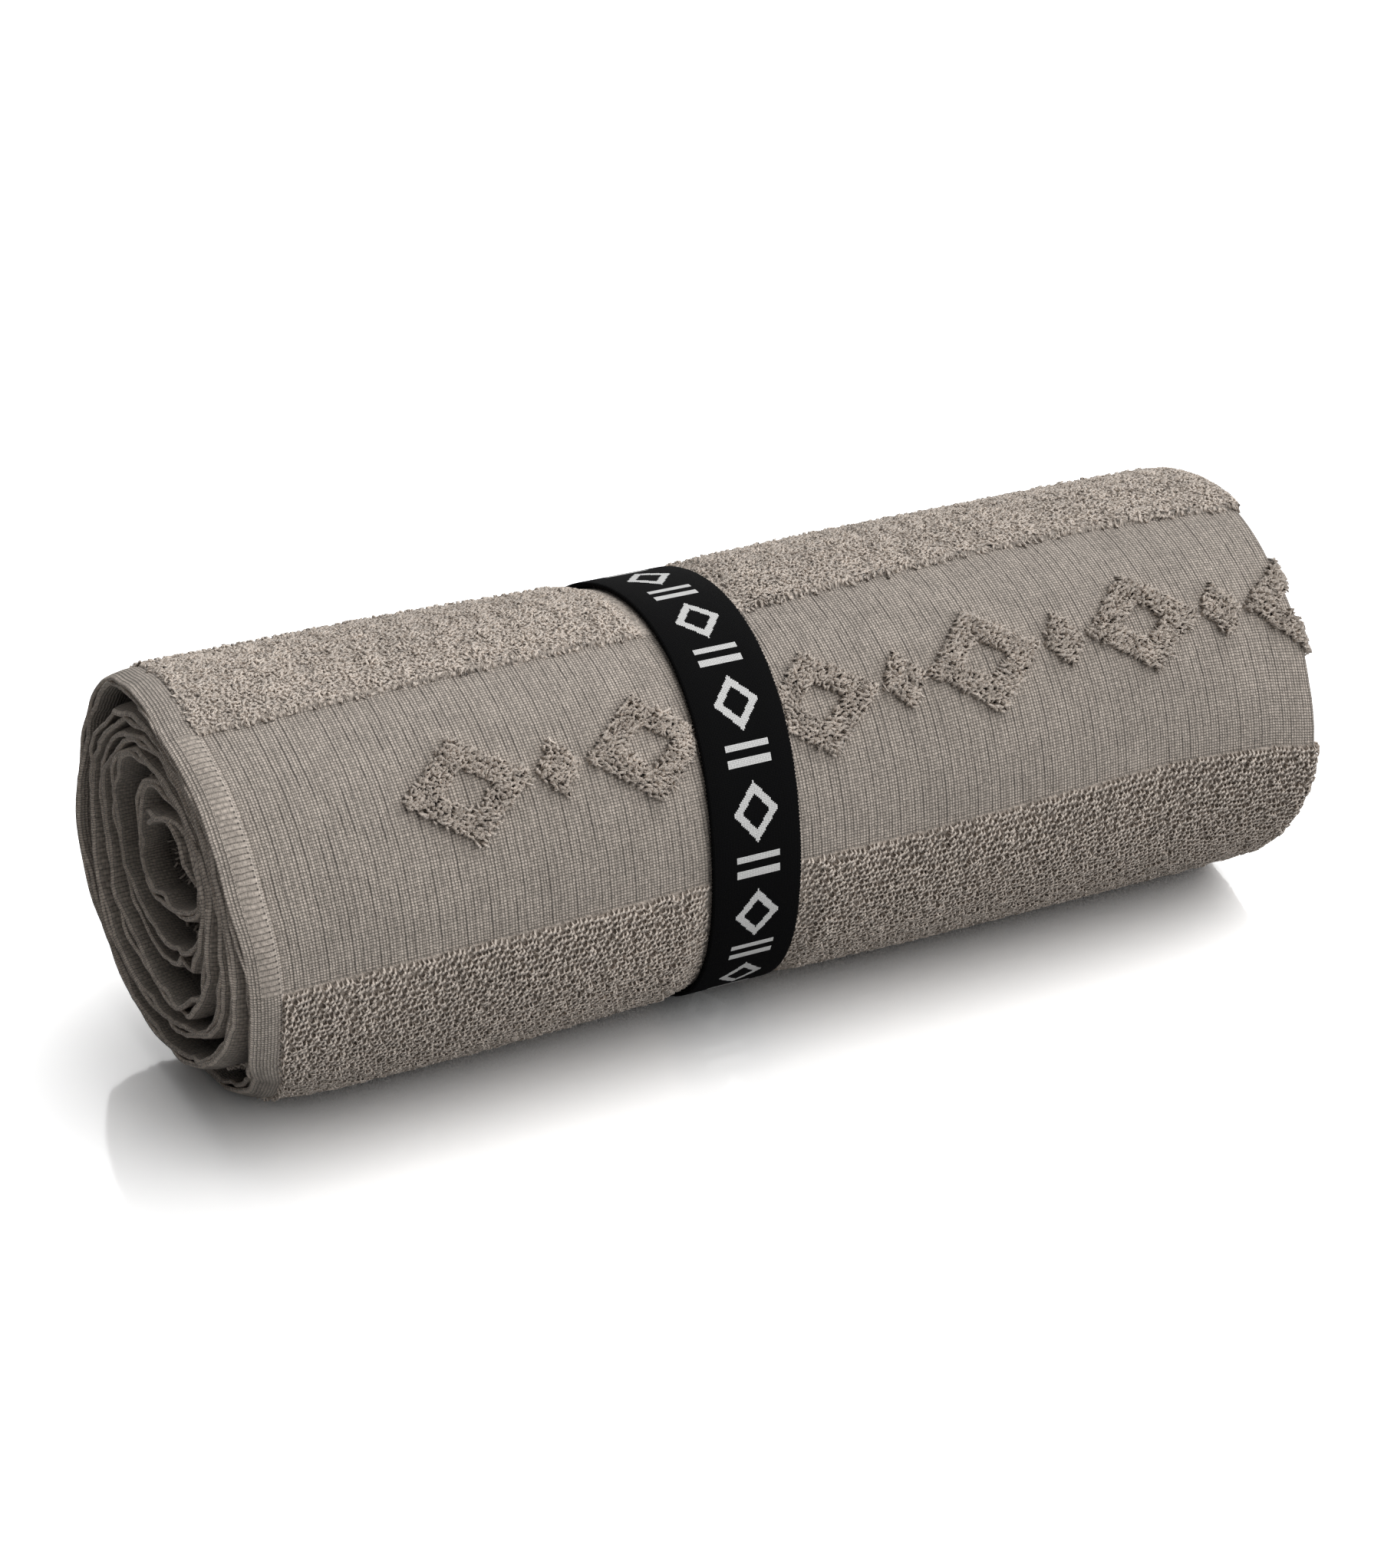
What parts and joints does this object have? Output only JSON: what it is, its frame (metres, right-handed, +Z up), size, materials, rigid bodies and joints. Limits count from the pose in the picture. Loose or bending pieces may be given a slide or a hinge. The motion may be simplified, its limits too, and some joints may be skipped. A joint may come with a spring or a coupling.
{
  "type": "rolled gym towel with an elastic band",
  "caption": "Terry gym towel, folded lengthwise, rolled to an open core and held round its middle by a woven elastic band.",
  "frame": {"origin": "centre of the bottom of the roll's box, on the surface that the roll rests on", "axes": "+Z up; +X along the roll from its hemmed, open end to its folded end; -Y is the front, where the woven border shows"},
  "size_m": [0.2504, 0.1006, 0.0902],
  "materials": {
    "cotton_terry": "soft terry loops with flat-woven hems and border, greige",
    "woven_elastic": "fine ribbed elastic webbing, black with a white woven ornament"
  },
  "bodies": {
    "root": {"towel_roll": "cotton_terry", "elastic_band": "woven_elastic"}
  },
  "joints": []
}
